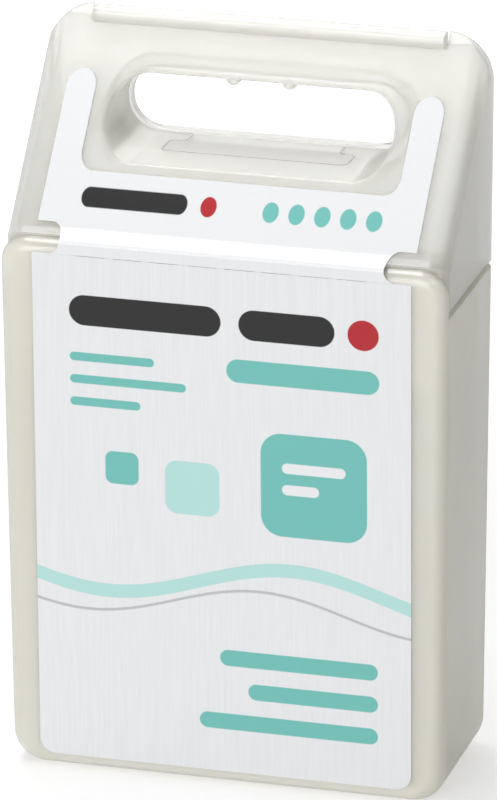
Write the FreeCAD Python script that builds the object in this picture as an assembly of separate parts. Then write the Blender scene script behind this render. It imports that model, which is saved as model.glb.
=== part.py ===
import FreeCAD, Part
import math
import os

Vector = FreeCAD.Vector

# Overall sizes of the closed box, in millimetres
overall_height = 82.95
overall_depth = 20.8
base_width = 49.7
ridge_width = 51.0
depth_draft = 0.55
wall = 1.25

# Case: a deep cup whose front wall stands higher than its sides
seam_share = 0.6842
panel_rise = 5.4
panel_corner = 3.2
base_corner = 3.8
edge_round = 1.75

# Lid: a wedge that closes on the case and carries the hang slot
seam_gap = 0.3
skirt_clearance = 0.25
lip_gap = 0.1
lip_overhang = 0.6
lip_edge = 0.25
facet_depth = 1.05
facet_rise = 0.51
ridge_land = 0.3
ridge_corner = 5.2
lid_edge_round = 2.2
lid_side_step = 0.35
plate_thickness = 1.2

# Hang slot and the two ribs that centre a display hook in it
slot_side = 8.75
slot_height = 7.75
slot_place_share = 0.5004
slot_round_share = 0.97
slot_wall = 1.4
slot_rim_round = 0.6
plate_slot_inset = 0.3
rib_radius = 0.85
rib_sink = 0.1
rib_spacing = 6.4
rib_setback = 0.9

# Tee tongue that locks the lid's back plate into the slot floor
tongue_thickness = 0.8
tongue_clearance = 0.15
neck_width = 17.2
neck_length = 2.8
head_lip = 1.9
head_length = 3.6
head_corner = 0.8

# Moulded hinges: the ridge bead and the web at the back seam
bead_front_depth = 2.0
bead_height = 1.6
bead_round = 0.7
bead_back_round = 0.35
fold_groove = 0.3
fold_groove_setback = 1.1
hinge_relief = 0.5
ridge_relief = 0.3
web_inset = 5.04
web_thickness = 0.35
web_below_seam = 0.25
web_above_seam = 0.55

# Label of thin film, torn across the front: one half on the case and one on the lid
label_thickness = 0.15
label_margin = 3.5
label_bottom = 1.65
label_corner = 1.8
arm_width = 3.3
arm_rise = 0.285
arm_round_share = 0.97
label_slot_margin = 0.915
label_slot_corner = 1.8
notch_depth = 3.1
notch_above = 1.4
notch_round_share = 0.98
tear_drop = 1.5
tear_gap = 0.02
flap_clearance = 0.05
flap_bend = 0.5
slit_length = 3.3
slit_pitch = 4.2
slit_width = 0.06

# Drop-in insert that carries the spool, the thread hole and the cutter
insert_clearance = 0.3
insert_wall = 1.2
insert_corner_ease = 0.55
deck_drop = 7.9
deck_corner = 1.2
cheek_foot = 6.0
cheek_front_setback = 2.5
spindle_share = 0.48
spindle_radius = 4.0
spindle_bore_radius = 2.5
collar_lip = 1.2
collar_length = 0.5
snap_lip = 0.5
snap_head_length = 1.4
nose_clearance = 1.06
snap_slit = 1.0
eyelet_place = -3.0
eyelet_radius = 2.4
eyelet_height = 1.8
thread_hole_radius = 0.9

# Spool of floss
spool_clearance = 0.1
spool_end_play = 0.15
core_wall = 1.9
roll_radius = 14.75
roll_margin = 0.3
roll_edge_round = 1.2

# Steel cutter clipped over a block on the deck
cutter_place = 11.0
cutter_width = 7.0
cutter_depth = 4.0
cutter_block_height = 2.4
cutter_sheet = 0.3
cutter_skirt = 1.6
tooth_width = 3.0
tooth_height = 1.8

# One overrun serves every cut, and two tolerances pick faces and edges
overrun = 1.0
pick_tolerance = 0.1
facing_tolerance_deg = 5.0
least_round = 0.15

# Planes and lines that several pieces share
seam_height = overall_height * seam_share
panel_top = seam_height + panel_rise
back_face = overall_depth / 2
front_face = label_thickness - overall_depth / 2
plate_front = back_face - plate_thickness
lid_bottom = seam_height + seam_gap
skirt_face = front_face + wall + skirt_clearance
lip_face = skirt_face - lip_overhang
lip_bottom = panel_top + lip_gap
slope_foot = (lip_face + facet_depth, lip_bottom + lip_edge + facet_rise)
slope_top = (back_face - ridge_land, overall_height)
slope_rate = (slope_top[1] - slope_foot[1]) / (slope_top[0] - slope_foot[0])
slope_angle = math.atan(1 / slope_rate)
slot_width = base_width - 2 * slot_side
slot_middle_height = slope_foot[1] + (overall_height - slope_foot[1]) * slot_place_share
slot_floor = slot_middle_height - slot_height / 2
slot_roof = slot_middle_height + slot_height / 2
bead_width = ridge_width - 2 * (lid_side_step + ridge_corner)
bead_bottom = overall_height - bead_height
bead_front = back_face - bead_front_depth
label_width = base_width - 2 * label_margin
tear_height = panel_top - tear_drop
notch_top = panel_top + notch_above
far = overall_depth + overall_height


def half_width(height):
    """Half the outside width at a height: the sides draw in towards the base."""
    return base_width / 2 + (ridge_width - base_width) / 2 * height / overall_height


def lid_half_width(height):
    """Half the lid's width at a height: its sides stand a step inside the case's."""
    return half_width(height) - lid_side_step


def front_at(height):
    """Depth of the case's front face at a height."""
    return front_face + depth_draft * (1 - height / panel_top)


def back_at(height):
    """Depth of the case's back face at a height."""
    return back_face - depth_draft * (1 - height / seam_height)


# Places inside the case, from the back wall forwards
web_half = half_width(seam_height) - web_inset
deck_height = seam_height - deck_drop
deck_bottom = deck_height - insert_wall
spindle_height = deck_height * spindle_share
insert_back = back_face - depth_draft - max(wall, edge_round) - insert_clearance
insert_front_wall = insert_back - insert_wall
collar_front = insert_front_wall - collar_length
spool_back = collar_front - spool_end_play
head_front = front_at(spindle_height) + wall + nose_clearance
head_back = head_front + snap_head_length
spool_front = head_back + spool_end_play
core_radius = spindle_radius + spool_clearance + core_wall


def slope_height(depth):
    """Height of the lid's slope at a depth."""
    return slope_foot[1] + (depth - slope_foot[0]) * slope_rate


def slope_depth(height):
    """Depth of the lid's slope at a height."""
    return slope_foot[0] + (height - slope_foot[1]) / slope_rate


def rounded_edges(points, radii, place):
    """Edges of a closed outline whose corners are arcs of the given radii."""
    ends = []
    for index, corner in enumerate(points):
        here = Vector(corner[0], corner[1], 0)
        before = Vector(*points[index - 1], 0) - here
        after = Vector(*points[(index + 1) % len(points)], 0) - here
        before.normalize()
        after.normalize()
        radius = radii[index]
        if radius <= 0:
            ends.append((here, None, here))
            continue
        half = before.getAngle(after) / 2
        bisector = before + after
        bisector.normalize()
        reach = radius / math.tan(half)
        middle = here + bisector * (radius / math.sin(half) - radius)
        ends.append((here + before * reach, middle, here + after * reach))
    edges = []
    for index, (start, middle, stop) in enumerate(ends):
        if middle is not None:
            edges.append(Part.Arc(place(start), place(middle), place(stop)).toShape())
        following = ends[(index + 1) % len(ends)][0]
        edges.append(Part.LineSegment(place(stop), place(following)).toShape())
    return edges


def prism(points, radii, view, low, high):
    """Solid of an outline drawn in the front, side or plan view, from low to high."""
    places = {
        "front": lambda p: Vector(p.x, low, p.y),
        "side": lambda p: Vector(low, p.x, p.y),
        "plan": lambda p: Vector(p.x, p.y, low),
    }
    travels = {
        "front": Vector(0, high - low, 0),
        "side": Vector(high - low, 0, 0),
        "plan": Vector(0, 0, high - low),
    }
    wire = Part.Wire(rounded_edges(points, radii, places[view]))
    return Part.Face(wire).extrude(travels[view])


def box(low, high):
    """Box between two corners."""
    size = Vector(*high) - Vector(*low)
    return Part.makeBox(size.x, size.y, size.z, Vector(*low))


def rectangle(low_u, high_u, low_v, high_v):
    """Corners of an upright rectangle, anticlockwise."""
    return [(low_u, low_v), (high_u, low_v), (high_u, high_v), (low_u, high_v)]


def alike(radius, count=4):
    """The same corner radius at each of several corners."""
    return [radius] * count


def cylinder_along_depth(radius, front, back, width, height):
    """Cylinder on the depth axis between two depths."""
    return Part.makeCylinder(radius, back - front, Vector(width, front, height), Vector(0, 1, 0))


def flat_faces(solid, direction):
    """Faces of a solid that look along a direction, within a few degrees."""
    found = []
    for face in solid.Faces:
        if face.Surface.TypeId != "Part::GeomPlane":
            continue
        if face.normalAt(0, 0).dot(direction) > math.cos(math.radians(facing_tolerance_deg)):
            found.append(face)
    return found


def drafted_slab(inset):
    """All that lies between the case's front and back faces, or between skins inside them."""
    profile = [
        (front_at(-far) + inset, -far),
        (back_at(-far) - inset, -far),
        (back_at(far) - inset, far),
        (front_at(far) + inset, far),
    ]
    return prism(profile, alike(0), "side", -far, far)


def case_block(inset):
    """Solid of the case's outside, or of a skin inside or outside it."""
    low = inset
    high = panel_top - inset
    outline = [
        (inset - half_width(low), low),
        (half_width(low) - inset, low),
        (half_width(high) - inset, high),
        (inset - half_width(high), high),
    ]
    radii = [base_corner - inset] * 2 + [panel_corner - inset] * 2
    block = prism(outline, radii, "front", -far, far).common(drafted_slab(inset))
    edges = []
    for direction in (Vector(0, -1, 0), Vector(0, 1, 0)):
        for face in flat_faces(block, direction):
            edges.extend(face.OuterWire.Edges)
    return block.makeFillet(max(edge_round - inset, least_round), edges)


def case_body(outside):
    """Cup with a tall front wall; the other walls stop at the side seam."""
    hollow = case_block(wall)
    foot = seam_height - wall
    mouth = [
        (wall - half_width(foot), foot),
        (half_width(foot) - wall, foot),
        (half_width(far) - wall, far),
        (wall - half_width(far), far),
    ]
    opening = prism(mouth, alike(0), "front", -far, far).common(drafted_slab(wall))
    above_seam = box((-far, front_face + wall, seam_height), (far, far, far))
    web_seat = box(
        (-web_half - hinge_relief, back_face - wall - overrun, seam_height - web_below_seam),
        (web_half + hinge_relief, far, far),
    )
    return outside.cut(hollow).cut(above_seam).cut(opening).cut(web_seat).removeSplitter()


def lid_block(inset):
    """Solid of the whole lid, or of a skin inside it, before it is split and slotted."""
    normal = (-math.cos(slope_angle), math.sin(slope_angle))
    foot = (slope_foot[0] - inset * normal[0], slope_foot[1] - inset * normal[1])
    front = skirt_face + inset if inset else lip_face
    low = lid_bottom - (overrun if inset else 0)
    slope_end = (far, foot[1] + (far - foot[0]) * slope_rate)
    profile = [(far, low), (front, low)]
    if inset:
        profile.append((front, foot[1] + (front - foot[0]) * slope_rate))
    else:
        profile.append((front, lip_bottom + lip_edge))
        profile.append(foot)
    profile.append(slope_end)
    sides = [
        (inset - lid_half_width(-far), -far),
        (lid_half_width(-far) - inset, -far),
        (lid_half_width(far) - inset, far),
        (inset - lid_half_width(far), far),
    ]
    wedge = prism(profile, alike(0, len(profile)), "side", -far, far)
    wedge = wedge.common(prism(sides, alike(0), "front", -far, 2 * far))
    edges = []
    for edge in wedge.Edges:
        ends = edge.Vertexes
        on_one_side = all(v.X > 0 for v in ends) or all(v.X < 0 for v in ends)
        rises = max(v.Z for v in ends) - min(v.Z for v in ends) > pick_tolerance
        if on_one_side and rises and min(v.Y for v in ends) < 0:
            edges.append(edge)
    wedge = wedge.makeFillet(max(lid_edge_round - inset, least_round), edges)
    outline = [
        (inset - lid_half_width(0), 0),
        (lid_half_width(0) - inset, 0),
        (lid_half_width(overall_height) - inset, overall_height - inset),
        (inset - lid_half_width(overall_height), overall_height - inset),
    ]
    radii = [0, 0, ridge_corner - inset, ridge_corner - inset]
    return wedge.common(prism(outline, radii, "front", -far, back_face))


def slot_prism(grow, front, back):
    """The hang slot's outline, grown by a wall, between two depths."""
    half = slot_width / 2 + grow
    outline = rectangle(-half, half, slot_floor - grow, slot_roof + grow)
    return prism(outline, alike(slot_height / 2 * slot_round_share + grow), "front", front, back)


def tongue_outline(grow):
    """Tee outline in plan, from the back plate to the front of the head."""
    neck = neck_width / 2 + grow
    head = neck + head_lip
    shoulder = plate_front - neck_length + grow
    tip = plate_front - neck_length - head_length - grow
    points = [
        (-neck, plate_front + overrun), (-neck, shoulder), (-head, shoulder), (-head, tip),
        (head, tip), (head, shoulder), (neck, shoulder), (neck, plate_front + overrun),
    ]
    ear = head_corner + grow
    return points, [0, head_corner, ear, ear, ear, ear, head_corner, 0]


def hook_ribs():
    """Two round-ended ribs along the slot's roof."""
    height = slot_roof + rib_sink
    front = slope_depth(slot_roof) + rib_setback + rib_radius
    ribs = []
    for side in (-1, 1):
        width = side * rib_spacing / 2
        rib = cylinder_along_depth(rib_radius, front, plate_front, width, height)
        ribs.append(rib.fuse(Part.makeSphere(rib_radius, Vector(width, front, height))))
    return ribs


def panel_clearance():
    """Room that the lid leaves for the case's front wall and its rounded corners."""
    half = half_width(panel_top) + lip_gap
    outline = rectangle(-half - overrun, half + overrun, 0, lip_bottom)
    corner = panel_corner + lip_gap + overrun
    return prism(outline, [0, 0, corner, corner], "front", -far, skirt_face)


def ridge_seat():
    """Room for the ridge bead, with relief at both ends."""
    half = bead_width / 2 + ridge_relief
    return box((-half, bead_front - overrun, bead_bottom), (half, far, far))


def lid_front_shell(outside):
    """Hollow wedge with the slot's tube, open at the back and below."""
    behind = box((-far, plate_front, -far), (far, far, far))
    tube = slot_prism(slot_wall, front_face, plate_front).common(outside)
    shell = outside.cut(lid_block(wall)).fuse(tube).cut(behind).cut(slot_prism(0, -far, far))
    rim = []
    for edge in shell.Edges:
        middle = edge.CenterOfMass
        on_slope = all(abs(v.Z - slope_height(v.Y)) < pick_tolerance for v in edge.Vertexes)
        off_middle = abs(middle.z - slot_middle_height)
        in_slot = abs(middle.x) < slot_width / 2 and off_middle < slot_height / 2 + pick_tolerance
        if on_slope and in_slot:
            rim.append(edge)
    shell = shell.makeFillet(slot_rim_round, rim)
    points, radii = tongue_outline(tongue_clearance)
    recess = prism(points, radii, "plan", slot_floor - tongue_thickness, slot_floor + overrun)
    shell = shell.cut(recess).cut(panel_clearance()).cut(ridge_seat())
    return shell.multiFuse(hook_ribs()).removeSplitter()


def lid_back_plate(outside):
    """Flat back of the lid with the slot's other half and the tee tongue."""
    ahead = box((-far, -far, -far), (far, plate_front, far))
    web_seat = box(
        (-web_half - hinge_relief, plate_front - overrun, -far),
        (web_half + hinge_relief, far, seam_height + web_above_seam),
    )
    plate = outside.cut(ahead).cut(slot_prism(-plate_slot_inset, -far, far))
    plate = plate.cut(ridge_seat()).cut(web_seat)
    points, radii = tongue_outline(0)
    tongue = prism(points, radii, "plan", slot_floor - tongue_thickness, slot_floor)
    tongue = tongue.cut(box((-far, plate_front + plate_thickness / 2, -far), (far, far, far)))
    return plate.fuse(tongue).removeSplitter()


def ridge_hinge_bead():
    """Rounded bead folded over the ridge, with the fold's groove along its top."""
    section = rectangle(bead_front, back_face, bead_bottom, overall_height)
    radii = [0, 0, bead_back_round, bead_round]
    bead = prism(section, radii, "side", -bead_width / 2, bead_width / 2)
    fold = back_face - fold_groove_setback
    groove = [
        (fold, overall_height - fold_groove),
        (fold + 2 * fold_groove, overall_height + fold_groove),
        (fold - 2 * fold_groove, overall_height + fold_groove),
    ]
    return bead.cut(prism(groove, alike(0, 3), "side", -far, far))


def lid_hinge_web():
    """Thin web across the back seam, on which the lid turns."""
    return box(
        (-web_half, back_face - web_thickness, seam_height - web_below_seam),
        (web_half, back_face, seam_height + web_above_seam),
    )


def seam_notches():
    """Round-ended notches in both edges of the lid's film, above the line it tears on."""
    end = (notch_top - tear_height) / 2
    notches = []
    for side in (-1, 1):
        inner = side * (label_width / 2 - notch_depth)
        outer = side * (label_width / 2 + end)
        outline = rectangle(min(inner, outer), max(inner, outer), tear_height, notch_top)
        notches.append(prism(outline, alike(end * notch_round_share), "front", -far, far))
    return notches


def tear_slits():
    """Row of slits along which the label tears when the lid is first opened."""
    half_run = label_width / 2 - notch_depth
    count = int((2 * half_run + slit_pitch - slit_length) // slit_pitch)
    first = -(count - 1) * slit_pitch / 2
    slits = []
    for index in range(count):
        middle = first + index * slit_pitch
        slits.append(box(
            (middle - slit_length / 2, -far, tear_height - slit_width / 2),
            (middle + slit_length / 2, 0, tear_height + slit_width / 2),
        ))
    return slits


def case_label(outside):
    """Film on the front wall, up to the line it tears on."""
    film = case_block(-label_thickness).cut(outside)
    top = tear_height - tear_gap / 2
    outline = rectangle(-label_width / 2, label_width / 2, label_bottom, top)
    film = film.common(prism(outline, [label_corner, label_corner, 0, 0], "front", -far, 0))
    for slit in tear_slits():
        film = film.cut(slit)
    return film


def raised(point, rise, lean):
    """Point in the side view, raised at a right angle to a line that leans by an angle."""
    return (point[0] - rise * math.sin(lean), point[1] + rise * math.cos(lean))


def lid_film_strip():
    """Film down the lid's slope and lower facet, bent down over the top of the front wall."""
    slope = math.atan(slope_rate)
    facet = math.atan2(facet_rise, facet_depth)
    slope_bend = (facet + slope) / 2
    slope_mitre = label_thickness / math.cos((slope - facet) / 2)
    outer_top = raised(slope_foot, slope_mitre, slope_bend)
    outer = front_at(tear_height) - label_thickness
    inner = front_at(tear_height) - flap_clearance
    inner_corner = (inner, slope_foot[1] + (inner - slope_foot[0]) * math.tan(facet))
    outer_corner = (outer, outer_top[1] + (outer - outer_top[0]) * math.tan(facet))
    section = [
        (inner, tear_height),
        inner_corner,
        slope_foot,
        slope_top,
        raised(slope_top, label_thickness, slope),
        outer_top,
        outer_corner,
        (outer, tear_height),
    ]
    radii = [0, flap_bend, 0, 0, 0, 0, flap_bend + label_thickness - flap_clearance, 0]
    return prism(section, radii, "side", -far, far)


def lid_label():
    """Film on the lid and over the front seam, with an arm on each side of the slot."""
    half = label_width / 2
    inner = half - arm_width
    low = tear_height + tear_gap / 2
    arm_top = slot_roof + arm_rise
    low_edge = slot_floor - label_slot_margin
    outline = [
        (-half, low), (half, low), (half, arm_top), (inner, arm_top),
        (inner, low_edge), (-inner, low_edge), (-inner, arm_top), (-half, arm_top),
    ]
    tip = arm_width / 2 * arm_round_share
    radii = [0, 0, tip, tip, label_slot_corner, label_slot_corner, tip, tip]
    film = lid_film_strip().common(prism(outline, radii, "front", -far, far))
    for cutter in seam_notches() + tear_slits():
        film = film.cut(cutter)
    return film.removeSplitter()


def insert_frame():
    """Upright plate, deck and cheeks that stand in the case, with the spool's spindle."""
    half = min(half_width(wall), half_width(deck_height)) - wall - insert_clearance
    outline = rectangle(-half, half, wall, deck_height)
    corner = base_corner - wall + insert_corner_ease
    radii = [corner, corner, 0, 0]
    frame = prism(outline, radii, "front", insert_front_wall, insert_back)
    deck_front = front_at(deck_bottom) + wall + insert_clearance
    deck = rectangle(-half, half, deck_front, insert_back)
    frame = frame.fuse(prism(deck, alike(deck_corner), "plan", deck_bottom, deck_height))
    cheek_front = deck_front + cheek_front_setback
    for side in (-1, 1):
        outer = side * half
        inner = side * (half - insert_wall)
        low = (min(inner, outer), cheek_front, cheek_foot)
        high = (max(inner, outer), insert_back, deck_height)
        frame = frame.fuse(box(low, high))
    spindle = cylinder_along_depth(spindle_radius, head_front, insert_back, 0, spindle_height)
    collar_radius = spindle_radius + collar_lip
    collar = cylinder_along_depth(collar_radius, collar_front, insert_back, 0, spindle_height)
    snap_head_radius = spindle_radius + snap_lip
    head = Part.makeCone(
        spindle_radius,
        snap_head_radius,
        snap_head_length,
        Vector(0, head_front, spindle_height),
        Vector(0, 1, 0),
    )
    frame = frame.multiFuse([spindle, collar, head])
    frame = frame.cut(cylinder_along_depth(spindle_bore_radius, -far, far, 0, spindle_height))
    slit = box(
        (-far, head_front - overrun, spindle_height - snap_slit / 2),
        (far, (spool_front + spool_back) / 2, spindle_height + snap_slit / 2),
    )
    reach = cylinder_along_depth(snap_head_radius + overrun, -far, far, 0, spindle_height)
    frame = frame.cut(slit.common(reach))
    eyelet = Part.makeCylinder(eyelet_radius, eyelet_height, Vector(eyelet_place, 0, deck_height))
    block = cutter_block(0, deck_bottom, deck_height + cutter_block_height)
    hole = Part.makeCylinder(thread_hole_radius, far, Vector(eyelet_place, 0, deck_bottom - overrun))
    return frame.fuse(eyelet).fuse(block).cut(hole).removeSplitter()


def cutter_block(grow, low, high):
    """Block on the deck that the cutter is clipped over."""
    half = cutter_width / 2 + grow
    depth = cutter_depth / 2 + grow
    return box((cutter_place - half, -depth, low), (cutter_place + half, depth, high))


def cutter_blade():
    """Bent steel clip with one raised tooth."""
    top = deck_height + cutter_block_height
    clip = cutter_block(cutter_sheet, top - cutter_skirt, top + cutter_sheet)
    clip = clip.cut(cutter_block(0, deck_bottom, top))
    half = tooth_width / 2
    crown = top + cutter_sheet
    tooth = [(cutter_place - half, top), (cutter_place + half, top), (cutter_place, crown + tooth_height)]
    front = -cutter_depth / 2 - cutter_sheet
    return clip.fuse(prism(tooth, alike(0, 3), "front", front, front + cutter_sheet)).removeSplitter()


def spool_core():
    """Plain tube that turns on the spindle."""
    tube = cylinder_along_depth(core_radius, spool_front, spool_back, 0, spindle_height)
    bore = cylinder_along_depth(spindle_radius + spool_clearance, -far, far, 0, spindle_height)
    return tube.cut(bore)


def floss_roll():
    """Wound floss on the core, with rounded shoulders."""
    front = spool_front + roll_margin
    back = spool_back - roll_margin
    roll = cylinder_along_depth(roll_radius, front, back, 0, spindle_height)
    shoulders = [edge for edge in roll.Edges if edge.Curve.TypeId == "Part::GeomCircle"]
    roll = roll.makeFillet(roll_edge_round, shoulders)
    return roll.cut(cylinder_along_depth(core_radius, -far, far, 0, spindle_height))


def main():
    os.makedirs("parts", exist_ok=True)
    case_outside = case_block(0)
    lid_outside = lid_block(0)
    pieces = {
        "case_body": case_body(case_outside),
        "lid_front_shell": lid_front_shell(lid_outside),
        "lid_back_plate": lid_back_plate(lid_outside),
        "ridge_hinge_bead": ridge_hinge_bead(),
        "lid_hinge_web": lid_hinge_web(),
        "case_label": case_label(case_outside),
        "lid_label": lid_label(),
        "insert_frame": insert_frame(),
        "cutter_blade": cutter_blade(),
        "spool_core": spool_core(),
        "floss_roll": floss_roll(),
    }
    for name, shape in pieces.items():
        print(name, len(shape.Solids), "solid", shape.isValid(), round(shape.Volume, 1), "mm3")
        shape.exportStep(os.path.join("parts", name + ".step"))


main()
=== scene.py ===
"""Looks of a floss dispenser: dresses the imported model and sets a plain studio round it."""

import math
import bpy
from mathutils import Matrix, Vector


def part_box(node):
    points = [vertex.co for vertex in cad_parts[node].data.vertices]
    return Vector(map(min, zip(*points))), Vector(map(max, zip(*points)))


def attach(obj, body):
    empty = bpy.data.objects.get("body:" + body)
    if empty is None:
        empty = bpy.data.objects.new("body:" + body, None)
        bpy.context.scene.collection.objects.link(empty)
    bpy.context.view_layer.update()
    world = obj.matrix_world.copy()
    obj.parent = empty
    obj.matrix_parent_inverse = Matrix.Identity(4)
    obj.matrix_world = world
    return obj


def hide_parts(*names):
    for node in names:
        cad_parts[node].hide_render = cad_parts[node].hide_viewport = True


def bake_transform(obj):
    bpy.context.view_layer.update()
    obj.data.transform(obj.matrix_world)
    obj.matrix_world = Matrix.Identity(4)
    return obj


bl_info = {
    "name": "Floss Dispenser Looks",
    "version": (1, 0, 0),
    "blender": (4, 5, 0),
    "location": "View3D > Sidebar > Floss Box",
    "description": "Dresses the packed floss dispenser and sets its studio",
    "category": "Object",
}

import bmesh
import bpy
from mathutils import Matrix, Vector

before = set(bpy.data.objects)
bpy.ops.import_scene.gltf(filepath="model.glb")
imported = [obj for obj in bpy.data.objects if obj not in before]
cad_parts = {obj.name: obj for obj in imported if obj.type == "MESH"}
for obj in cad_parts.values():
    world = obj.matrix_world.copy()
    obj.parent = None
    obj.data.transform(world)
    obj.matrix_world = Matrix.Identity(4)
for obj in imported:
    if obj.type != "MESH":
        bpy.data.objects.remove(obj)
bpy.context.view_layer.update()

MM = 0.001
MERGE_DISTANCE = 1e-6
COPLANAR = math.radians(0.35)
CRISP = math.radians(38)
TURN_STEPS = 64
BODY_STEPS = 96
THREAD_SIDES = 8
WEB_CUTS = 11
FRONT_STREAKS = 0.04
LID_STREAKS = 0.02
CUTTER_EDGE = 0.05 * MM
TABLE_REACH = 2.0
SENSOR_HEIGHT_MM = 24
NEAREST_SEEN = 0.01
ROLL_LOW, ROLL_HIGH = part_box("floss_roll")
CORE_LOW, CORE_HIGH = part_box("spool_core")
WEB_LOW, WEB_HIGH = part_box("lid_hinge_web")

# Print on the front view, in millimetres: centre, half size, corner and ink
FRONT_TILES = (
    ((10.4, 36.25), (6.0, 6.0), 2.4, "teal"),
    ((10.4, 38.25), (3.6, 0.6), 0.6, "white"),
    ((8.9, 35.75), (2.1, 0.6), 0.6, "white"),
    ((-3.4, 34.85), (3.1, 3.1), 1.4, "pale_teal"),
    ((-11.4, 36.45), (1.9, 1.9), 0.9, "teal"),
)

# Bars with round ends, in millimetres: centre, half size and ink
FRONT_BARS = (
    ((-8.6, 54.45), (8.6, 1.75), "charcoal"),
    ((7.4, 54.45), (5.4, 1.75), "charcoal"),
    ((16.0, 54.45), (1.75, 1.75), "red"),
    ((9.2, 49.05), (8.6, 1.35), "teal"),
    ((-12.4, 49.05), (4.8, 0.5), "teal"),
    ((-10.6, 46.45), (6.6, 0.5), "teal"),
    ((-13.2, 43.85), (4.0, 0.5), "teal"),
    ((8.6, 15.25), (9.0, 0.95), "teal"),
    ((10.2, 11.45), (7.4, 0.95), "teal"),
    ((7.4, 7.65), (10.2, 0.95), "teal"),
)
LID_BARS = (
    ((-11.0, 65.95), (6.0, 0.9), "charcoal"),
    ((-2.6, 65.95), (0.9, 0.9), "red"),
)
LID_DOTS, DOT_START, DOT_PITCH, DOT_HEIGHT, DOT_HALF = 5, 4.4, 2.9, 65.95, 0.9

# Waves across the front, in millimetres: level, rise, pace and phase, then where the ink fades out
RIBBON_WAVE, RIBBON_FADE = (24.05, 2.2, 0.15, 0.4), (0.74, 0.86)
LINE_WAVE, LINE_FADE, LINE_INK = (21.45, 2.0, 0.16, 0.9), (0.10, 0.22), 0.8

# Extra light of the table where it is seen, from near the box to far away, in metres
LIFT_REACH, TABLE_LIFT = (0.08, 0.5), (0.25, 0.75)

# Lamps, in metres: name, place, aim, width, height and the setting of its power
LAMPS = (
    ("top_lamp", (-0.13, 0.06, 0.56), (-0.13, 0.05, 0.06), 0.18, 0.46, "top_power"),
    ("key_lamp", (-0.15, -0.92, 0.36), (0, 0, 0.06), 0.8, 0.7, "key_power"),
    ("fill_lamp", (0.38, -0.38, 0.55), (0, 0, 0.07), 0.25, 0.25, "fill_power"),
    ("back_lamp", (-0.1, 0.7, 0.5), (0, 0, 0.045), 0.6, 0.4, "back_power"),
)


def size(name, description, default, low=0.0):
    """A length that a user may change, in metres."""
    return bpy.props.FloatProperty(
        name=name, description=description, default=default, min=low, unit="LENGTH", precision=5,
    )


def colour(name, description, default):
    """A colour that a user may change."""
    return bpy.props.FloatVectorProperty(
        name=name, description=description, default=default, size=3, min=0, max=1, subtype="COLOR",
    )


def share(name, description, default, high=1.0):
    """A plain number that a user may change."""
    return bpy.props.FloatProperty(name=name, description=description, default=default, min=0, max=high)


def angle(name, description, default):
    """An angle that a user may change, in degrees."""
    return bpy.props.FloatProperty(
        name=name, description=description, default=math.radians(default), subtype="ANGLE",
    )


class FlossPlasticSettings(bpy.types.PropertyGroup):
    """Finish of the moulded pieces"""

    # The case and the lid are one polypropylene: the case's warmer, slightly darker tones are painted shade,
    # and the lid's paler tones are painted light.
    case_shaded_milky: colour("Case plastic", "Natural polypropylene of the case", (0.95, 0.91, 0.78))
    case_shaded_cloudy: colour("Case cloud", "Denser patches in the case's plastic", (0.93, 0.885, 0.75))
    lid_lit_milky: colour("Lid plastic", "Natural polypropylene of the lid", (0.95, 0.93, 0.86))
    lid_lit_cloudy: colour("Lid cloud", "Denser patches in the lid's plastic", (0.935, 0.91, 0.83))
    ridge_milky: colour("Ridge plastic", "Thick bead of the ridge", (0.89, 0.875, 0.81))
    ridge_cloudy: colour("Ridge cloud", "Denser patches in the ridge", (0.87, 0.85, 0.78))
    insert: colour("Insert plastic", "White of the insert and the spool", (0.88, 0.885, 0.87))
    case_edge: size("Case edge", "Rounding of the case's sharp moulded edges", 0.14 * MM)
    lid_edge: size("Lid edge", "Rounding of the lid's sharp moulded edges", 0.14 * MM)
    insert_edge: size("Insert edge", "Rounding of the insert's edges", 0.12 * MM)
    case_density: share(
        "Case density", "Share of light that each face of the case stops, seen square on", 0.7,
    )
    lid_density: share("Lid density", "Share of light that each face of the lid stops, seen square on", 0.36)
    ridge_density: share(
        "Ridge density", "Share of light that each face of the ridge stops, seen square on", 0.55,
    )
    edge_density: share("Edge density", "Share of light that a face stops where it is seen edge on", 0.95)
    subsurface: share("Milkiness", "Share of light that spreads inside the wall", 0.7)
    spread: size("Light spread", "How far light spreads inside the wall", 2.5 * MM)


class FlossLabelSettings(bpy.types.PropertyGroup):
    """Printed film on the front and the lid"""

    white: colour("Film white", "Unprinted film", (0.80, 0.81, 0.825))
    teal: colour("Teal ink", "Main printed colour", (0.16, 0.51, 0.47))
    pale_teal: colour("Pale teal ink", "Second printed colour", (0.45, 0.72, 0.69))
    charcoal: colour("Charcoal ink", "Dark printed colour", (0.012, 0.012, 0.013))
    red: colour("Red ink", "Accent colour", (0.45, 0.012, 0.02))
    grey: colour("Grey ink", "Thin lines", (0.42, 0.44, 0.45))


class FlossSpoolSettings(bpy.types.PropertyGroup):
    """Wound floss on its tube"""

    thread: size("Thread", "Diameter of the round floss", 0.52 * MM)
    white: colour("Waxed floss", "Colour of the waxed thread", (0.80, 0.83, 0.79))
    # Darker colour, painted shade for the furrows between turns, which the fibre noise lays at random along
    # the thread.
    shade: colour("Floss shade", "Colour in the furrows between turns", (0.60, 0.64, 0.61))
    steel: colour("Cutter steel", "Colour of the cutter's strip", (0.62, 0.63, 0.64))


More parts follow.
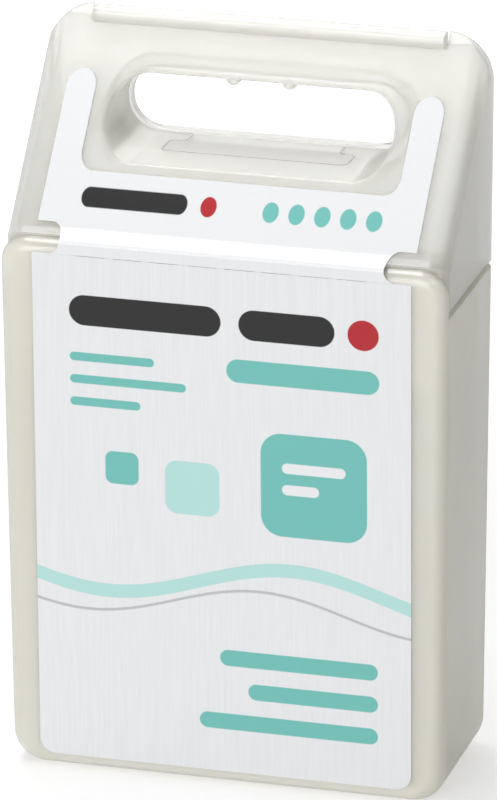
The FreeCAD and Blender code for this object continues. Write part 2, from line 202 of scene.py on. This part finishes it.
class FlossStageSettings(bpy.types.PropertyGroup):
    """Camera, lamps and floor"""

    azimuth: angle("Camera azimuth", "Angle of the camera to the right of the front", 16.16)
    elevation: angle("Camera elevation", "Angle of the camera above the table", 19.96)
    roll: angle("Camera roll", "Small lean of the camera", -0.298)
    distance: size("Camera distance", "From the aim to the camera", 828.3 * MM)
    aim_height: size("Aim height", "Height of the point that the camera looks at", 43.85 * MM)
    aim_right: size("Aim right", "Aim moved to the right in the picture", 0.11 * MM, -1.0)
    aim_down: size("Aim down", "Aim moved down in the picture", 1.826 * MM)
    lens: size("Lens", "Focal length over a sensor 24 mm high, in metres", 225.918 * MM)
    ambient: share("Ambient", "Brightness of the even light all round", 0.1, 4)
    glow: share("Table glow", "Light that the pale table gives back from below", 0.25, 4)
    top_power: share("Top lamp", "Power of the lamp overhead, in watts", 1.8, 50)
    key_power: share("Key lamp", "Power of the large lamp in front, in watts", 6.2, 50)
    back_power: share("Back lamp", "Power of the lamp behind, in watts", 1.5, 50)
    fill_power: share("Fill lamp", "Power of the small lamp high on the right, in watts", 0.6, 50)
    floor: colour("Floor", "Colour of the table", (0.55, 0.55, 0.545))


# Small builders for node trees

def add_node(tree, kind, inputs=None, **settings):
    """Adds a node, sets it up and links or fills its inputs."""
    made = tree.nodes.new(kind)
    for key, value in settings.items():
        setattr(made, key, value)
    for key, value in (inputs or {}).items():
        if isinstance(value, bpy.types.NodeSocket):
            tree.links.new(value, made.inputs[key])
        else:
            made.inputs[key].default_value = value
    return made


def maths(tree, operation, *values):
    """Output of a math node."""
    return add_node(tree, "ShaderNodeMath", dict(enumerate(values)), operation=operation).outputs[0]


def vector(tree, operation, *values):
    """Output of a vector math node: a number for a length, and a vector otherwise."""
    made = add_node(tree, "ShaderNodeVectorMath", dict(enumerate(values)), operation=operation)
    return made.outputs["Value"] if operation == "LENGTH" else made.outputs[0]


def ramp(tree, value, low, high, to_low=0.0, to_high=1.0, smooth=True):
    """Value mapped from one range to another."""
    kind = "SMOOTHSTEP" if smooth else "LINEAR"
    inputs = {0: value, 1: low, 2: high, 3: to_low, 4: to_high}
    return add_node(tree, "ShaderNodeMapRange", inputs, interpolation_type=kind).outputs[0]


def mix(tree, factor, first, second):
    """Two colours mixed by a factor."""
    made = tree.nodes.new("ShaderNodeMix")
    made.data_type = "RGBA"
    for index, value in ((0, factor), (6, first), (7, second)):
        if isinstance(value, bpy.types.NodeSocket):
            tree.links.new(value, made.inputs[index])
        elif index == 0:
            made.inputs[0].default_value = value
        else:
            made.inputs[index].default_value = (*value, 1)
    return made.outputs[2]


def noise(tree, place, scale, detail=3.0, roughness=0.5):
    """Noise value at a place."""
    inputs = {"Vector": place, "Scale": scale, "Detail": detail, "Roughness": roughness}
    return add_node(tree, "ShaderNodeTexNoise", inputs).outputs[0]


def bump(tree, height, strength, distance):
    """Normal that a height gives."""
    inputs = {"Height": height, "Strength": strength, "Distance": distance}
    return add_node(tree, "ShaderNodeBump", inputs).outputs[0]


def new_material(name):
    """Empty material with its shader and its Object coordinates."""
    material = bpy.data.materials.new(name)
    material.use_nodes = True
    tree = material.node_tree
    shader = tree.nodes["Principled BSDF"]
    place = add_node(tree, "ShaderNodeTexCoord").outputs["Object"]
    return material, tree, shader, place


def set_input(tree, shader, name, value):
    """Links or sets one socket of the shader."""
    socket = shader.inputs[name]
    if isinstance(value, bpy.types.NodeSocket):
        tree.links.new(value, socket)
    elif socket.type == "RGBA":
        socket.default_value = (*value, 1)
    else:
        socket.default_value = value


def finish_shader(tree, shader, values):
    """Sets every named socket of a shader."""
    for name, value in values.items():
        set_input(tree, shader, name, value)


# Materials

def milky_plastic(settings, name, milky, cloudy, density):
    """Natural polypropylene: half-clear and cloudy, with light spreading inside the wall."""
    material, tree, shader, place = new_material(name)
    cloud = ramp(tree, noise(tree, place, 70, 4, 0.55), 0.3, 0.7)
    fine = noise(tree, place, 1500, 3, 0.6)
    edge_on = add_node(tree, "ShaderNodeLayerWeight", {"Blend": 0.5}).outputs["Facing"]
    finish_shader(tree, shader, {
        "Base Color": mix(tree, cloud, milky, cloudy),
        "Roughness": ramp(tree, noise(tree, place, 260, 3, 0.5), 0.25, 0.75, 0.16, 0.22),
        "Alpha": ramp(tree, edge_on, 0.25, 1.0, density, settings.edge_density, False),
        "Subsurface Weight": settings.subsurface,
        "Subsurface Radius": (1.0, 0.95, 0.8),
        "Subsurface Scale": settings.spread,
        "IOR": 1.55,
        "Specular IOR Level": 0.9,
        "Normal": bump(tree, fine, 0.08, 0.02 * MM),
    })
    return material


def film_grain(tree, place):
    """Streaks that run down the film, as its rollers leave them."""
    stretched = vector(tree, "MULTIPLY", place, (4200, 4200, 140))
    return noise(tree, stretched, 1.0, 2, 0.6)


def printed_bar(tree, flat, centre, half, corner, soft=0.06):
    """Mask of a printed bar with rounded ends, in millimetres on the front view."""
    moved = vector(tree, "SUBTRACT", flat, (centre[0], 0, centre[1]))
    folded = vector(tree, "ABSOLUTE", moved)
    beyond = vector(tree, "SUBTRACT", folded, (half[0] - corner, 0, half[1] - corner))
    outside = vector(tree, "MAXIMUM", beyond, (0, 0, 0))
    distance = vector(tree, "LENGTH", outside)
    return ramp(tree, distance, corner - soft, corner + soft, 1, 0)


def printed_wave(tree, across, up, level, rise, pace, phase):
    """Height of the print above a wave, in millimetres: negative below it."""
    turn = maths(tree, "MULTIPLY_ADD", across, pace, phase)
    crest = maths(tree, "MULTIPLY_ADD", maths(tree, "SINE", turn), rise, level)
    return maths(tree, "SUBTRACT", up, crest)


def flat_place(tree, place):
    """Place on the front view, in millimetres, with its two parts."""
    scaled = vector(tree, "MULTIPLY", place, (1 / MM, 0, 1 / MM))
    parts = add_node(tree, "ShaderNodeSeparateXYZ", {0: scaled})
    return scaled, parts.outputs[0], parts.outputs[2]


def bare_film(tree, settings, place, streaks):
    """White of the film, with the faint streaks that its rollers leave."""
    grain = ramp(tree, film_grain(tree, place), 0.3, 0.7)
    dull = tuple(part * (1 - streaks) for part in settings.white)
    return mix(tree, grain, dull, settings.white)


def film_finish(tree, shader, place, tone):
    """Gloss and faint unevenness of the label's film."""
    finish_shader(tree, shader, {
        "Base Color": tone,
        "Roughness": ramp(tree, noise(tree, place, 1500, 2, 0.5), 0.3, 0.7, 0.22, 0.24),
        "IOR": 1.5,
        "Normal": bump(tree, film_grain(tree, place), 0.06, 0.01 * MM),
    })


def front_print(settings):
    """Generic print of the front label: bars above and below, tiles and a ribbon between."""
    material, tree, shader, place = new_material("front_label_print")
    flat, across, up = flat_place(tree, place)
    tone = bare_film(tree, settings, place, FRONT_STREAKS)
    ribbon = maths(tree, "ABSOLUTE", printed_wave(tree, across, up, *RIBBON_WAVE))
    tone = mix(tree, ramp(tree, ribbon, *RIBBON_FADE, 1, 0), tone, settings.pale_teal)
    line = maths(tree, "ABSOLUTE", printed_wave(tree, across, up, *LINE_WAVE))
    tone = mix(tree, ramp(tree, line, *LINE_FADE, LINE_INK, 0), tone, settings.grey)
    for centre, half, corner, ink in FRONT_TILES:
        tone = mix(tree, printed_bar(tree, flat, centre, half, corner), tone, getattr(settings, ink))
    for centre, half, ink in FRONT_BARS:
        tone = mix(tree, printed_bar(tree, flat, centre, half, half[1]), tone, getattr(settings, ink))
    film_finish(tree, shader, place, tone)
    return material


def lid_print(settings):
    """Generic print of the lid's label: one dark bar and a row of dots."""
    material, tree, shader, place = new_material("lid_label_print")
    flat = flat_place(tree, place)[0]
    tone = bare_film(tree, settings, place, LID_STREAKS)
    dots = tuple(
        ((DOT_START + DOT_PITCH * step, DOT_HEIGHT), (DOT_HALF, DOT_HALF), "teal") for step in range(LID_DOTS)
    )
    for centre, half, ink in LID_BARS + dots:
        tone = mix(tree, printed_bar(tree, flat, centre, half, half[1]), tone, getattr(settings, ink))
    film_finish(tree, shader, place, tone)
    return material


def insert_plastic(settings):
    """White moulded plastic with a satin face."""
    material, tree, shader, place = new_material("insert_plastic")
    cloud = noise(tree, place, 120, 3, 0.5)
    darker = tuple(part * 0.93 for part in settings.insert)
    finish_shader(tree, shader, {
        "Base Color": mix(tree, ramp(tree, cloud, 0.35, 0.65), settings.insert, darker),
        "Roughness": ramp(tree, noise(tree, place, 700, 2, 0.5), 0.3, 0.7, 0.38, 0.48),
        "Subsurface Weight": 0.12,
        "Subsurface Radius": (1.0, 0.95, 0.85),
        "Subsurface Scale": 0.6 * MM,
        "Normal": bump(tree, noise(tree, place, 2200, 3, 0.6), 0.12, 0.02 * MM),
    })
    return material


def cutter_steel(settings):
    """Bright strip steel with fine rolling marks."""
    material, tree, shader, place = new_material("cutter_steel")
    marks = noise(tree, vector(tree, "MULTIPLY", place, (300, 9000, 9000)), 1.0, 2, 0.6)
    darker = tuple(part * 0.8 for part in settings.steel)
    finish_shader(tree, shader, {
        "Base Color": mix(tree, marks, settings.steel, darker),
        "Metallic": 1.0,
        "Roughness": ramp(tree, marks, 0.3, 0.7, 0.18, 0.34),
        "Normal": bump(tree, marks, 0.15, 0.01 * MM),
    })
    return material


def waxed_floss(settings):
    """Waxed thread: fine fibres, soft sheen, and painted furrow shade laid at random along the fibres."""
    material, tree, shader, place = new_material("waxed_floss")
    fibre = noise(tree, vector(tree, "MULTIPLY", place, (900, 5200, 900)), 1.0, 3, 0.65)
    finish_shader(tree, shader, {
        # Fibre noise mixes in the painted furrow shade.
        "Base Color": mix(tree, ramp(tree, fibre, 0.3, 0.75), settings.shade, settings.white),
        "Roughness": 0.52,
        "Sheen Weight": 0.25,
        "Sheen Roughness": 0.4,
        "Subsurface Weight": 0.15,
        "Subsurface Radius": (1.0, 0.95, 0.9),
        "Subsurface Scale": 0.4 * MM,
        "Normal": bump(tree, fibre, 0.25, 0.03 * MM),
    })
    return material


# Pieces

def mesh_object(bm, name, material):
    """Object at the origin made from a bmesh, smooth-shaded."""
    for face in bm.faces:
        face.smooth = True
    mesh = bpy.data.meshes.new(name)
    bm.to_mesh(mesh)
    bm.free()
    if "custom_normal" in mesh.attributes:
        mesh.attributes.remove(mesh.attributes["custom_normal"])
    mesh.materials.clear()
    mesh.materials.append(material)
    made = bpy.data.objects.new(name, mesh)
    bpy.context.scene.collection.objects.link(made)
    return made


def crisp_edges(bm):
    """Edges that turn sharply."""
    return [edge for edge in bm.edges if edge.is_manifold and edge.calc_face_angle(0) > CRISP]


def moulded_copy(node, name, material, edge):
    """Copy of a CAD node, merged, with its sharp edges eased as a mould leaves them."""
    bm = bmesh.new()
    bm.from_mesh(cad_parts[node].data)
    bmesh.ops.remove_doubles(bm, verts=bm.verts, dist=MERGE_DISTANCE)
    bmesh.ops.dissolve_limit(bm, angle_limit=COPLANAR, verts=bm.verts, edges=bm.edges)
    if edge > 0:
        bmesh.ops.bevel(
            bm, geom=crisp_edges(bm), offset=edge, offset_type="OFFSET", affect="EDGES", segments=2,
            profile=0.5, material=-1, clamp_overlap=True,
        )
    for sharp in crisp_edges(bm):
        sharp.smooth = False
    made = mesh_object(bm, name, material)
    weighted = made.modifiers.new("weighted_normals", "WEIGHTED_NORMAL")
    weighted.keep_sharp = True
    return made


def dress(piece, body, slot, *nodes):
    """Rides a piece on its body in place of its CAD nodes."""
    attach(piece, body)
    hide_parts(*nodes)


class FLOSS_OT_case(bpy.types.Operator):
    """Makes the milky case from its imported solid"""

    bl_idname = "floss.case"
    bl_label = "Case"

    def execute(self, context):
        settings = context.scene.floss_plastic
        # Warmer, darker tones of the plastic: painted shade on the case.
        tones = settings.case_shaded_milky, settings.case_shaded_cloudy
        material = milky_plastic(settings, "case_plastic", *tones, settings.case_density)
        piece = moulded_copy("case_body", "case_shell", material, settings.case_edge)
        dress(piece, "case", "milky_plastic", "case_body")
        return {"FINISHED"}


class FLOSS_OT_lid(bpy.types.Operator):
    """Makes the lid's wedge, back plate and ridge"""

    bl_idname = "floss.lid"
    bl_label = "Lid"

    def execute(self, context):
        settings = context.scene.floss_plastic
        # Paler tones of the same plastic: painted light on the lid.
        tones = settings.lid_lit_milky, settings.lid_lit_cloudy
        thin = milky_plastic(settings, "lid_plastic", *tones, settings.lid_density)
        tones = settings.ridge_milky, settings.ridge_cloudy
        thick = milky_plastic(settings, "ridge_plastic", *tones, settings.ridge_density)
        for node, name, material in (
            ("lid_front_shell", "lid_wedge", thin),
            ("lid_back_plate", "lid_plate", thin),
            ("ridge_hinge_bead", "lid_ridge", thick),
        ):
            piece = moulded_copy(node, name, material, settings.lid_edge)
            dress(piece, "lid", "milky_plastic", node)
        return {"FINISHED"}


class FLOSS_OT_hinge_web(bpy.types.Operator):
    """Makes the thin web of the hinge between the case and the lid"""

    bl_idname = "floss.hinge_web"
    bl_label = "Hinge web"

    def execute(self, context):
        settings = context.scene.floss_plastic
        bm = bmesh.new()
        bmesh.ops.create_cube(bm, size=1)
        span = WEB_HIGH - WEB_LOW
        bmesh.ops.scale(bm, vec=span, verts=bm.verts)
        bmesh.ops.translate(bm, vec=(WEB_LOW + WEB_HIGH) / 2, verts=bm.verts)
        upright = [e for e in bm.edges if abs(e.verts[0].co.z - e.verts[1].co.z) > span.z / 2]
        bmesh.ops.subdivide_edges(bm, edges=upright, cuts=WEB_CUTS, use_grid_fill=True)
        # The web takes the lid's paler tones, which are painted light.
        tones = settings.lid_lit_milky, settings.lid_lit_cloudy
        material = milky_plastic(settings, "web_plastic", *tones, settings.lid_density)
        piece = mesh_object(bm, "hinge_web", material)
        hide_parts("lid_hinge_web")
        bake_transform(piece)
        return {"FINISHED"}


class FLOSS_OT_labels(bpy.types.Operator):
    """Makes the two halves of the printed film"""

    bl_idname = "floss.labels"
    bl_label = "Labels"

    def execute(self, context):
        settings = context.scene.floss_label
        front = moulded_copy("case_label", "front_label", front_print(settings), 0)
        dress(front, "case", "label_film", "case_label")
        upper = moulded_copy("lid_label", "lid_film", lid_print(settings), 0)
        dress(upper, "lid", "label_film", "lid_label")
        return {"FINISHED"}


class FLOSS_OT_insert(bpy.types.Operator):
    """Makes the insert and its cutter"""

    bl_idname = "floss.insert"
    bl_label = "Insert and cutter"

    def execute(self, context):
        settings = context.scene.floss_plastic
        plastic = insert_plastic(settings)
        piece = moulded_copy("insert_frame", "spool_insert", plastic, settings.insert_edge)
        dress(piece, "case", "insert_plastic", "insert_frame")
        steel = cutter_steel(context.scene.floss_spool)
        blade = moulded_copy("cutter_blade", "thread_cutter", steel, CUTTER_EDGE)
        dress(blade, "case", "cutter_steel", "cutter_blade")
        tube = moulded_copy("spool_core", "spool_tube", plastic, settings.insert_edge)
        dress(tube, "spool", "insert_plastic", "spool_core")
        return {"FINISHED"}


class FLOSS_OT_winding(bpy.types.Operator):
    """Winds the floss: a ringed body with one helix of thread round it"""

    bl_idname = "floss.winding"
    bl_label = "Floss winding"

    def execute(self, context):
        settings = context.scene.floss_spool
        middle = (ROLL_LOW + ROLL_HIGH) / 2
        outer = (ROLL_HIGH.z - ROLL_LOW.z) / 2
        inner = (CORE_HIGH.z - CORE_LOW.z) / 2
        width = ROLL_HIGH.y - ROLL_LOW.y
        thread = settings.thread
        bm = bmesh.new()
        self.helix(bm, middle, outer - thread / 2, width - 2 * thread, thread)
        self.ringed_body(bm, middle, inner, outer - thread, width, thread)
        bmesh.ops.recalc_face_normals(bm, faces=bm.faces)
        piece = mesh_object(bm, "floss_winding", waxed_floss(settings))
        dress(piece, "spool", "floss", "floss_roll")
        return {"FINISHED"}

    @staticmethod
    def ringed_body(bm, middle, inner, outer, width, thread):
        """Spun body whose two ends show one furrow between each layer."""
        layers = int((outer - inner) / thread)
        steps = layers * 4
        profile = []
        for end in (-1, 1):
            row = []
            for step in range(steps + 1):
                along = step / steps
                furrow = abs(math.cos(math.pi * along * layers)) ** 2 * thread / 4
                depth = end * (width / 2 - thread / 4 - furrow)
                row.append((depth, inner + (outer - inner) * along))
            profile.extend(row if end < 0 else reversed(row))
        verts = [bm.verts.new((middle.x, middle.y + y, middle.z + z)) for y, z in profile]
        edges = [bm.edges.new((verts[i], verts[(i + 1) % len(verts)])) for i in range(len(verts))]
        bmesh.ops.spin(
            bm, geom=verts + edges, cent=middle, axis=(0, 1, 0), angle=2 * math.pi, steps=BODY_STEPS,
            use_merge=True,
        )
        bmesh.ops.remove_doubles(bm, verts=bm.verts, dist=MERGE_DISTANCE)

    @staticmethod
    def helix(bm, middle, radius, width, thread):
        """One thread laid from side to side round the roll: a turn is spun and the rest copied."""
        turns = int(width / thread)
        pitch = width / turns
        ring = bmesh.ops.create_circle(bm, segments=THREAD_SIDES, radius=thread / 2)["verts"]
        bmesh.ops.rotate(bm, verts=ring, cent=(0, 0, 0), matrix=Matrix.Rotation(math.pi / 2, 3, "Y"))
        start = Vector((middle.x, middle.y - width / 2, middle.z + radius))
        bmesh.ops.translate(bm, verts=ring, vec=start)
        hoop = list({edge for vert in ring for edge in vert.link_edges})
        bmesh.ops.spin(
            bm, geom=hoop + ring, cent=middle, axis=(0, 1, 0), dvec=(0, pitch / TURN_STEPS, 0),
            angle=2 * math.pi, steps=TURN_STEPS,
        )
        turn = list(bm.verts) + list(bm.edges) + list(bm.faces)
        for step in range(1, turns):
            copied = bmesh.ops.duplicate(bm, geom=turn)["geom"]
            verts = [item for item in copied if isinstance(item, bmesh.types.BMVert)]
            bmesh.ops.translate(bm, verts=verts, vec=(0, pitch * step, 0))
        bmesh.ops.remove_doubles(bm, verts=bm.verts, dist=MERGE_DISTANCE)
        ends = [edge for edge in bm.edges if edge.is_boundary]
        bmesh.ops.holes_fill(bm, edges=ends, sides=THREAD_SIDES)


def aim(item, target, roll=0.0):
    """Turns a lamp or camera to look at a point."""
    look = (Vector(target) - item.location).to_track_quat("-Z", "Y")
    item.rotation_euler = look.to_euler()
    if roll:
        item.rotation_euler.rotate_axis("Z", roll)


def softbox(name, place, target, width, height, power):
    """Rectangular lamp."""
    lamp = bpy.data.lights.new(name, "AREA")
    lamp.shape = "RECTANGLE"
    lamp.size = width
    lamp.size_y = height
    lamp.energy = power
    made = bpy.data.objects.new(name, lamp)
    bpy.context.scene.collection.objects.link(made)
    made.location = place
    aim(made, target)


class FLOSS_OT_stage(bpy.types.Operator):
    """Sets the table, the lamps and the camera"""

    bl_idname = "floss.stage"
    bl_label = "Stage"

    def execute(self, context):
        settings = context.scene.floss_stage
        context.scene.view_settings.view_transform = "Standard"
        self.table(settings)
        self.surroundings(context, settings)
        for name, place, target, width, height, power in LAMPS:
            softbox(name, place, target, width, height, getattr(settings, power))
        self.camera(context, settings)
        return {"FINISHED"}

    @staticmethod
    def table(settings):
        """Pale table that shows white away from the shadow."""
        bm = bmesh.new()
        bmesh.ops.create_grid(bm, x_segments=1, y_segments=1, size=TABLE_REACH)
        material, tree, shader, place = new_material("table_top")
        ray = add_node(tree, "ShaderNodeLightPath").outputs["Is Camera Ray"]
        reach = vector(tree, "LENGTH", place)
        lift = ramp(tree, reach, *LIFT_REACH, *TABLE_LIFT)
        speck = noise(tree, place, 60, 2, 0.5)
        finish_shader(tree, shader, {
            "Base Color": mix(tree, ramp(tree, speck, 0.3, 0.7, 0, 0.03), settings.floor, (0.5, 0.5, 0.5)),
            "Roughness": 0.7,
            "Emission Color": (1.0, 1.0, 1.0),
            "Emission Strength": maths(tree, "MULTIPLY_ADD", ray, lift, settings.glow),
        })
        mesh_object(bm, "table", material)

    @staticmethod
    def surroundings(context, settings):
        """Even light all round, white where it is seen."""
        world = bpy.data.worlds.new("studio")
        context.scene.world = world
        world.use_nodes = True
        tree = world.node_tree
        seen = add_node(tree, "ShaderNodeLightPath").outputs["Is Camera Ray"]
        light = tree.nodes["Background"]
        light.inputs["Color"].default_value = (1, 1, 1, 1)
        tree.links.new(ramp(tree, seen, 0, 1, settings.ambient, 1.0, False), light.inputs["Strength"])

    @staticmethod
    def camera(context, settings):
        """Camera at the photograph's viewing angle."""
        lens = bpy.data.cameras.new("camera")
        lens.sensor_fit = "VERTICAL"
        lens.sensor_height = SENSOR_HEIGHT_MM
        lens.lens = settings.lens / MM
        lens.clip_start = NEAREST_SEEN
        made = bpy.data.objects.new("camera", lens)
        context.scene.collection.objects.link(made)
        turn, tilt = settings.azimuth, settings.elevation
        back = Vector((
            math.sin(turn) * math.cos(tilt), -math.cos(turn) * math.cos(tilt), math.sin(tilt),
        ))
        right = Vector((math.cos(turn), math.sin(turn), 0))
        up = back.cross(right)
        centre = Vector((0, 0, settings.aim_height))
        made.location = centre + back * settings.distance
        aim(made, centre + right * settings.aim_right - up * settings.aim_down, settings.roll)
        context.scene.camera = made


class FLOSS_PT_panel(bpy.types.Panel):
    """Lists the dispenser's settings and operators"""

    bl_idname = "FLOSS_PT_panel"
    bl_label = "Floss Dispenser"
    bl_space_type = "VIEW_3D"
    bl_region_type = "UI"
    bl_category = "Floss Box"

    def draw(self, context):
        for group in ("floss_plastic", "floss_label", "floss_spool", "floss_stage"):
            settings = getattr(context.scene, group)
            column = self.layout.column(align=True)
            for key in settings.__annotations__:
                column.prop(settings, key)
        for operator in PIECES + (FLOSS_OT_stage,):
            self.layout.operator(operator.bl_idname)


SETTINGS = {
    "floss_plastic": FlossPlasticSettings,
    "floss_label": FlossLabelSettings,
    "floss_spool": FlossSpoolSettings,
    "floss_stage": FlossStageSettings,
}
PIECES = (
    FLOSS_OT_case,
    FLOSS_OT_lid,
    FLOSS_OT_hinge_web,
    FLOSS_OT_labels,
    FLOSS_OT_insert,
    FLOSS_OT_winding,
)
CLASSES = tuple(SETTINGS.values()) + PIECES + (FLOSS_OT_stage, FLOSS_PT_panel)


def register():
    for item in CLASSES:
        bpy.utils.register_class(item)
    for name, kind in SETTINGS.items():
        setattr(bpy.types.Scene, name, bpy.props.PointerProperty(type=kind))


def unregister():
    for name in SETTINGS:
        delattr(bpy.types.Scene, name)
    for item in reversed(CLASSES):
        bpy.utils.unregister_class(item)


def main():
    register()
    for name in ("stage", "case", "lid", "hinge_web", "labels", "insert", "winding"):
        getattr(bpy.ops.floss, name)()


if __name__ == "__main__":
    main()
